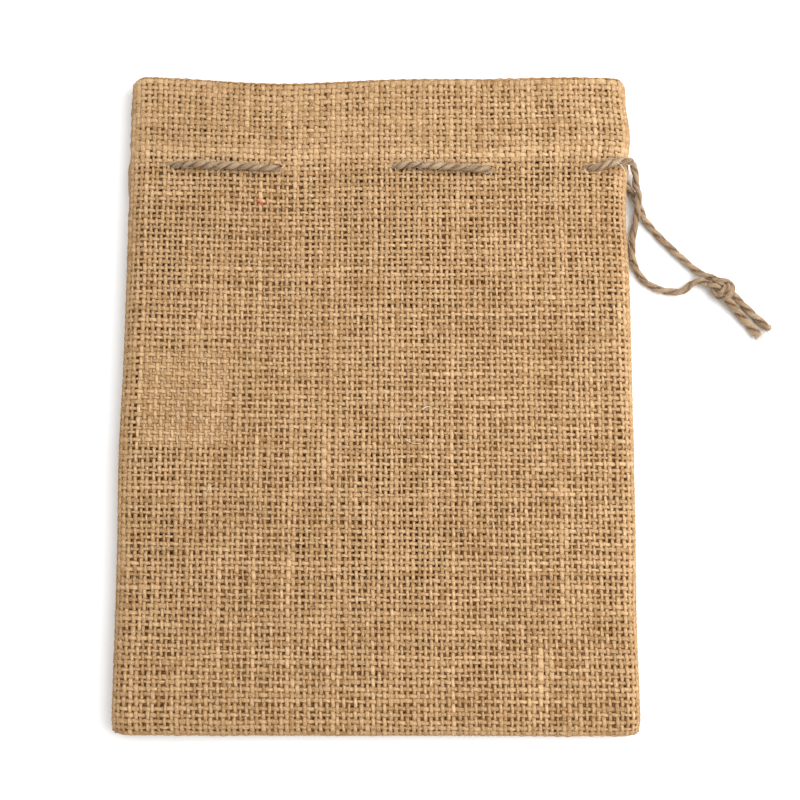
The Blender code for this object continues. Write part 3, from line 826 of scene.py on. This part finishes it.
knot = {
    "path": (       # mm along the strands, across them and up, from the knot's middle
        (-5.2, 0.6, -0.2), (-3.1, 2.1, 0.5), (-0.8, 3.2, 0.9), (1.7, 2.9, 1.0), (3.1, 0.8, 1.4),
        (2.4, -1.9, 1.0), (0.1, -3.3, 0.1), (-2.3, -2.7, -0.4), (-2.8, -1.3, -0.8), (-1.0, 0.2, -1.2),
        (1.2, 0.6, -1.4), (2.6, -0.6, -1.2),
    ),
    "wrapTurns": 2.1, "wrapStart": 200.0,       # the turns that lie over it, in degrees where they start
    "wrapAcross": 0.0024, "wrapHigh": 0.0021, "wrapFrom": -0.0021, "wrapTo": 0.0021, "wrapSlant": 0.0011,
    "clear": 0.0053,            # from its middle to where the tails leave it
    "tailUpper": {"side": 1, "length": 0.0186, "drift": 0.0011, "open": 0.4, "seed": 41},
    "tailLower": {"side": -1, "length": 0.0176, "drift": -0.0008, "open": 1.0, "seed": 42},
}


def knotRim():
    points = [knotPoint(along / 1000, across / 1000, knotPlace[2] + up / 1000)
              for along, across, up in knot["path"]]
    return smoothRoute(points, drawstring["spacing"])


def knotWrap():
    k = knot
    points = []
    for share in np.linspace(0, 1, 28):
        turn = math.radians(k["wrapStart"]) + 2 * math.pi * k["wrapTurns"] * share
        along = k["wrapFrom"] + (k["wrapTo"] - k["wrapFrom"]) * share + k["wrapSlant"] * math.sin(turn)
        up = knotPlace[2] + k["wrapHigh"] * math.sin(turn)
        points.append(knotPoint(along, k["wrapAcross"] * math.cos(turn), up))
    return smoothRoute(points, drawstring["spacing"])


def tailRoute(side, length, drift):
    # from the end of a strand, through the knot and on to the cut end
    d = drawstring
    spread = (d["diameter"] + d["tailGap"]) / 2 * side
    clear = knot["clear"]
    z = d["onTable"]
    points = [strandEnd(0.25 if side > 0 else -0.75), knotPoint(-clear * 0.6, spread * 0.7, z + 0.0020),
              knotPoint(0.0, spread * 0.6, knotPlace[2]), knotPoint(clear * 0.5, spread * 0.9, z + 0.0021),
              knotPoint(clear, spread, z + 0.0017),
              knotPoint(clear + length * 0.5, spread + drift * 0.35, z + 0.0005),
              knotPoint(clear + length, spread + drift, z)]
    return smoothRoute(points, d["spacing"])


def tieKnot():
    pieces = []
    for number, route in enumerate((knotRim(), knotWrap())):
        wrap = twistPlies(route, 61 + number, untwist=0.95)
        name = f"drawstring_knot_twine_{number + 1}"
        pieces.append(addTubes(name, sides=drawstring["sides"], material=twinePaint, **wrap))
    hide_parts("drawstring_knot")
    for name, node in (("tailUpper", "drawstring_tail_upper"), ("tailLower", "drawstring_tail_lower")):
        t = knot[name]
        route = tailRoute(t["side"], t["length"], t["drift"])
        share = np.linspace(0, 1, len(route))[:, None]
        plies = twistPlies(route, t["seed"], untwist=1 + 0.5 * t["open"] * share)
        plies["wide"] = plies["wide"] * (1 + 0.32 * t["open"] * share[:, 0])
        plies["thick"] = plies["thick"] * (1 + 0.12 * t["open"] * share[:, 0])
        piece = addTubes(node + "_twine", sides=drawstring["sides"], material=twinePaint, **plies)
        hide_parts(node)
        pieces.append(piece)
    for piece in pieces:
        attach(piece, "drawstring_end")
    return pieces


def addHairs(name, starts, ways, outward, lengths, curl, thick, material, seed):
    # short loose fibres: each starts at a point and runs off in its own curve
    random = np.random.default_rng(seed)
    rings = 6
    t = np.linspace(0, 1, rings)[None, :, None]
    bend = unit(np.cross(ways, outward)) * random.normal(0, curl, (len(starts), 1))
    rise = outward * random.uniform(0.05, 0.30, (len(starts), 1))
    reach = lengths[:, None, None]
    curve = ways[:, None] * t + bend[:, None] * t ** 2 + rise[:, None] * np.sin(t * 2.6)
    centres = starts[:, None] + curve * reach
    centres[..., 2] = np.maximum(centres[..., 2], 2 * thick)
    taper = thick * (1 - 0.6 * t[..., 0] ** 2) * random.uniform(0.7, 1.4, (len(starts), 1))
    upward = np.broadcast_to(outward[:, None], centres.shape)
    tone = np.broadcast_to(random.uniform(0.1, 0.9, (len(starts), 1)), taper.shape)
    return addTubes(name, centres, upward, taper, taper, 3, {"tone": tone}, material)


fuzz = {
    "clothHairs": 1700, "clothLength": (0.0010, 0.0042), "clothThick": 0.000042,
    "twinePerMetre": 3600, "twineLength": (0.0010, 0.0034), "twineThick": 0.000040,
    "endHairs": 80, "endLength": (0.0012, 0.0034), "endThick": 0.00008,
}

clothHairPaint = fibreFinish("hessian hairs", (0.50, 0.29, 0.12), (0.90, 0.75, 0.52))
twineHairPaint = fibreFinish("twine hairs", (0.42, 0.29, 0.17), (0.86, 0.77, 0.62))


def growClothHairs(side, hand, seed):
    random = np.random.default_rng(seed)
    count = fuzz["clothHairs"]
    sign = -1 if hand == "left" else 1
    u = sign * random.uniform(0.001, clothHalf - 0.001, count)
    s = random.uniform(0.002, foldStart, count)
    place, outward = clothFrame(side, u, s)
    lengths = random.uniform(*fuzz["clothLength"], count)
    turn = random.normal(0, 0.5, count) + np.where(random.uniform(size=count) < 0.5, 0, math.pi / 2)
    flat = np.stack([np.cos(turn), np.sin(turn), 0 * turn], axis=1)
    ways = unit(flat - outward * np.sum(flat * outward, axis=1, keepdims=True))
    starts = place + outward * random.uniform(0.00035, 0.00060, (count, 1))
    panel = "front" if side > 0 else "back"
    return addHairs(f"{panel}_hairs_{hand}", starts, ways, outward, lengths, 0.35,
                    fuzz["clothThick"], clothHairPaint, seed + 1)


def growTwineHairs(name, route, seed):
    random = np.random.default_rng(seed)
    tangent, first, second = routeFrame(route)
    run = len(route) * drawstring["spacing"]
    count = int(run * fuzz["twinePerMetre"])
    k = random.integers(1, len(route) - 1, count)
    turn = random.uniform(0, 2 * math.pi, (count, 1))
    outward = np.cos(turn) * first[k] + np.sin(turn) * second[k]
    outward[:, 2] = np.abs(outward[:, 2]) * np.where(route[k, 2] < 0.003, 1, np.sign(outward[:, 2] + 1e-9))
    starts = route[k] + outward * drawstring["diameter"] * 0.42
    side = unit(np.cross(tangent[k], outward))
    ways = tangent[k] * random.choice([-1, 1], (count, 1)) + side * random.normal(0, 0.5, (count, 1))
    ways = unit(ways + outward * 0.3)
    lengths = random.uniform(*fuzz["twineLength"], count)
    return addHairs(name, starts, ways, outward, lengths, 0.5, fuzz["twineThick"], twineHairPaint, seed + 1)


def frayTail(name, route, share, seed):
    # the plies come apart into fibres at a cut end
    random = np.random.default_rng(seed)
    count = int(fuzz["endHairs"] * share)
    tangent, first, second = routeFrame(route)
    turn = random.uniform(0, 2 * math.pi, (count, 1))
    outward = np.cos(turn) * first[-1] + np.sin(turn) * second[-1]
    starts = route[-4] + outward * random.uniform(0.0002, 0.0013, (count, 1)) * (0.7 + 0.5 * share)
    ways = unit(tangent[-1] + outward * random.uniform(0.0, 0.30, (count, 1)) * share)
    lengths = random.uniform(*fuzz["endLength"], count)
    starts[:, 2] = np.maximum(starts[:, 2], 0.0003)
    ways[:, 2] = np.maximum(ways[:, 2], 0.0)
    return addHairs(name, starts, unit(ways), outward * (outward[:, 2:] > 0), lengths, 0.25,
                    fuzz["endThick"], twineHairPaint, seed + 1)


strayPaints = {
    "red": fibreFinish("red fibre", (0.50, 0.05, 0.05), (0.70, 0.11, 0.09)),
    "pale": fibreFinish("pale fibre", (0.72, 0.63, 0.50), (0.92, 0.86, 0.74)),
    "dark": fibreFinish("dark fibre", (0.060, 0.030, 0.015), (0.13, 0.065, 0.03)),
}
strays = [      # paint, x, y, degrees, length, bend and half thickness of fibres caught in the front
    ("red", -0.0471, 0.0776, -43, 0.0044, 0.0003, 0.00030),
    ("pale", 0.0190, -0.0058, 20, 0.0034, 0.0004, 0.00016),
    ("pale", 0.0100, -0.0130, 75, 0.0090, 0.0012, 0.00009),
    ("pale", 0.0140, -0.0185, -15, 0.0070, -0.0010, 0.00009),
    ("pale", -0.0640, -0.0380, 60, 0.0060, 0.0009, 0.00008),
    ("dark", 0.0703, -0.0470, 70, 0.0030, 0.0004, 0.00018),
    ("dark", -0.0240, -0.0820, 15, 0.0024, 0.0003, 0.00013),
]
strayLift = 0.00095         # from the middle of the cloth's yarns up to the top of them
edgeStray = [   # one long fibre that stands off the cord where it goes over the edge
    (0.0930, 0.0927, 0.0132), (0.0962, 0.0915, 0.0130), (0.0985, 0.0888, 0.0112), (0.0991, 0.0850, 0.0092),
]


def layStrays():
    for number, (paint, x, y, degrees, length, bend, thick) in enumerate(strays):
        t = np.linspace(0, 1, 11)
        way = (math.cos(math.radians(degrees)), math.sin(math.radians(degrees)))
        run, side = length * (t - 0.5), bend * 4 * t * (1 - t)
        fibreX, fibreY = x + way[0] * run - way[1] * side, y + way[1] * run + way[0] * side
        place, outward = clothFrame(1, fibreX, fibreY + halfHeight - pouch["edgeRound"] + edgeArc)
        centres = (place + outward * strayLift)[None]
        hand = "left" if x < 0 else "right"
        addStray(f"stray_{paint}_{number}", centres, outward[None], thick, strayPaints[paint], hand)
    route = smoothRoute(edgeStray, 0.0005)
    upward = np.broadcast_to((0.0, 0.0, 1.0), route.shape)
    addStray("stray_edge", route[None], upward[None], 0.00009, strayPaints["pale"], "right")


def addStray(name, centres, upward, thick, paint, hand):
    along = np.linspace(-1, 1, centres.shape[1])[None]
    taper = thick * (1 - 0.7 * along ** 4)
    piece = addTubes(name, centres, upward, taper, taper, 5, {"tone": 0.5 + 0 * along}, paint)
    frontPieces[hand].append(piece)


knotPieces = tieKnot()
layStrays()
backHairs = [growClothHairs(-1, hand, 70 + k) for k, hand in enumerate(("left", "right"))]
for k, hand in enumerate(("left", "right")):
    frontPieces[hand].append(growClothHairs(1, hand, 80 + k))
    name = f"drawstring_front_twine_{hand}"
    frontPieces[hand].append(growTwineHairs(name + "_hairs", cordPieces[name]["route"], 84 + k))
backRoute = cordPieces["drawstring_back_twine"]["route"]
backHairs.append(growTwineHairs("drawstring_back_twine_hairs", backRoute, 88))
endHairs = [growTwineHairs("drawstring_knot_hairs", knotWrap(), 90)]
for k, name in enumerate(("tailUpper", "tailLower")):
    t = knot[name]
    route = tailRoute(t["side"], t["length"], t["drift"])
    endHairs.append(growTwineHairs(f"{name}_hairs", route[12:], 92 + k))
    endHairs.append(frayTail(f"{name}_fray", route, 0.5 + 0.9 * t["open"], 96 + k))
for piece in backHairs:
    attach(piece, "back")
for piece in endHairs:
    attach(piece, "drawstring_end")
print("knot tied, fibres grown")


# Sewing: running stitches along the seams and over the hems' edges

sewing = {
    "radius": 0.00032, "stitch": 0.0046, "depth": 0.00045, "rings": 8,
    "sway": 0.0003, "hemReach": 0.0010,         # to each side of the line, on seams and on hems
}
threadPaint = fibreFinish("sewing thread", (0.55, 0.38, 0.20), (0.80, 0.64, 0.42))


def sewThread(name, start, end, sway, rise):
    # sway and rise are the directions in which the thread goes in and out
    start, end = np.array(start, float), np.array(end, float)
    run = np.linalg.norm(end - start)
    stitches = max(1, round(run / sewing["stitch"]))
    t = np.linspace(0, 1, stitches * sewing["rings"] + 1)
    turn = 2 * math.pi * stitches * t
    centre = start + (end - start) * t[:, None]
    centre = centre + np.array(rise) * np.sin(turn)[:, None] + np.array(sway) * np.cos(turn)[:, None]
    thick = np.full((1, len(t)), sewing["radius"])
    upward = np.broadcast_to(unit(np.array(rise, float)), (1, len(t), 3))
    tone = 0.5 + drift(np.random.default_rng(5), 1, len(t), stitches, 0.1)
    piece = addTubes(name, centre[None], upward, thick, thick, 6, {"tone": tone}, threadPaint)
    return piece


def sewSeams():
    into = (0, 0, sewing["depth"])
    for node in ("left_seam_thread", "right_seam_thread"):
        low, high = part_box(node)
        x, z = (low.x + high.x) / 2, (low.z + high.z) / 2
        piece = sewThread(node + "_stitches", (x, low.y, z), (x, high.y, z), (sewing["sway"], 0, 0), into)
        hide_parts(node)
        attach(piece, "back")
    for node in ("bottom_seam_thread", "back_hem_thread"):
        low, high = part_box(node)
        y, z = (low.y + high.y) / 2, (low.z + high.z) / 2
        sway = (0, sewing["hemReach" if "hem" in node else "sway"], 0)
        piece = sewThread(node + "_stitches", (low.x, y, z), (high.x, y, z), sway, into)
        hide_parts(node)
        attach(piece, "back")
    low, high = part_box("front_hem_thread")
    y, z = (low.y + high.y) / 2, (low.z + high.z) / 2
    for hand, ends in (("left", (low.x, 0)), ("right", (0, high.x))):
        piece = sewThread(f"front_hem_stitches_{hand}", (ends[0], y, z), (ends[1], y, z),
                          (0, sewing["hemReach"], 0), into)
        frontPieces[hand].append(piece)
        if hand == "left":
            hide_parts("front_hem_thread")


sewSeams()
print("seams sewn")


# Floor and light

def addFloor():
    bm = bmesh.new()
    bmesh.ops.create_grid(bm, x_segments=2, y_segments=2, size=2.0)
    mesh = bpy.data.meshes.new("floor")
    bm.to_mesh(mesh)
    bm.free()
    finish = Finish("floor", roughness=0.7, specular=0.1)
    finish.colour((0.93, 0.93, 0.93))
    mesh.materials.append(finish.material)
    floor = bpy.data.objects.new("floor", mesh)
    bpy.context.scene.collection.objects.link(floor)


studio = {
    "key": {"place": (0.55, 0.05, 0.56), "size": 0.9, "power": 7.8},
    "fill": {"place": (-0.2, 0.7, 1.1), "size": 1.4, "power": 3.4},
    "world": 0.74,
}


def addLight(name, place, size, power):
    data = bpy.data.lights.new(name, "AREA")
    data.shape = "DISK"
    data.size = size
    data.energy = power
    light = bpy.data.objects.new(name, data)
    light.location = place
    aim = -light.location
    light.rotation_euler = aim.to_track_quat("-Z", "Y").to_euler()
    bpy.context.scene.collection.objects.link(light)


def addStudio():
    addFloor()
    addLight("key", **studio["key"])
    addLight("fill", **studio["fill"])
    world = bpy.data.worlds.new("studio")
    world.use_nodes = True
    background = world.node_tree.nodes["Background"]
    background.inputs["Color"].default_value = (1.0, 1.0, 1.0, 1.0)
    background.inputs["Strength"].default_value = studio["world"]
    bpy.context.scene.world = world
    bpy.context.scene.view_settings.view_transform = "Standard"


addStudio()


# Front pieces and free cord: their placing baked into the meshes, the CAD nodes they replace hidden


def declareCord(name, tip, body, *nodes):
    # a stretch of free cord, from where it leaves the pouch to the knot
    piece, route = cordPieces[name]["piece"], cordPieces[name]["route"]
    if tip == "start":
        route = route[::-1]
    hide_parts(*nodes)
    hairs = growTwineHairs(name + "_hairs", route, 100 + len(name))
    for part in (piece, hairs):
        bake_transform(part)
    [tuple(p) for p in route[::4]] + [tuple(route[-1])]


for hand, sign in (("left", -1), ("right", 1)):
    twine = cordPieces[f"drawstring_front_twine_{hand}"]["piece"]
    for piece in frontPieces[hand] + [twine]:
        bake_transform(piece)
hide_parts("drawstring_front_run")
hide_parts("drawstring_back_run")
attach(cordPieces["drawstring_back_twine"]["piece"], "back")
declareCord("drawstring_loop_twine", "end", "drawstring_end",
            "drawstring_over_edge", "drawstring_loop_strand")
declareCord("drawstring_straight_twine", "start", "drawstring_end", "drawstring_straight_strand")
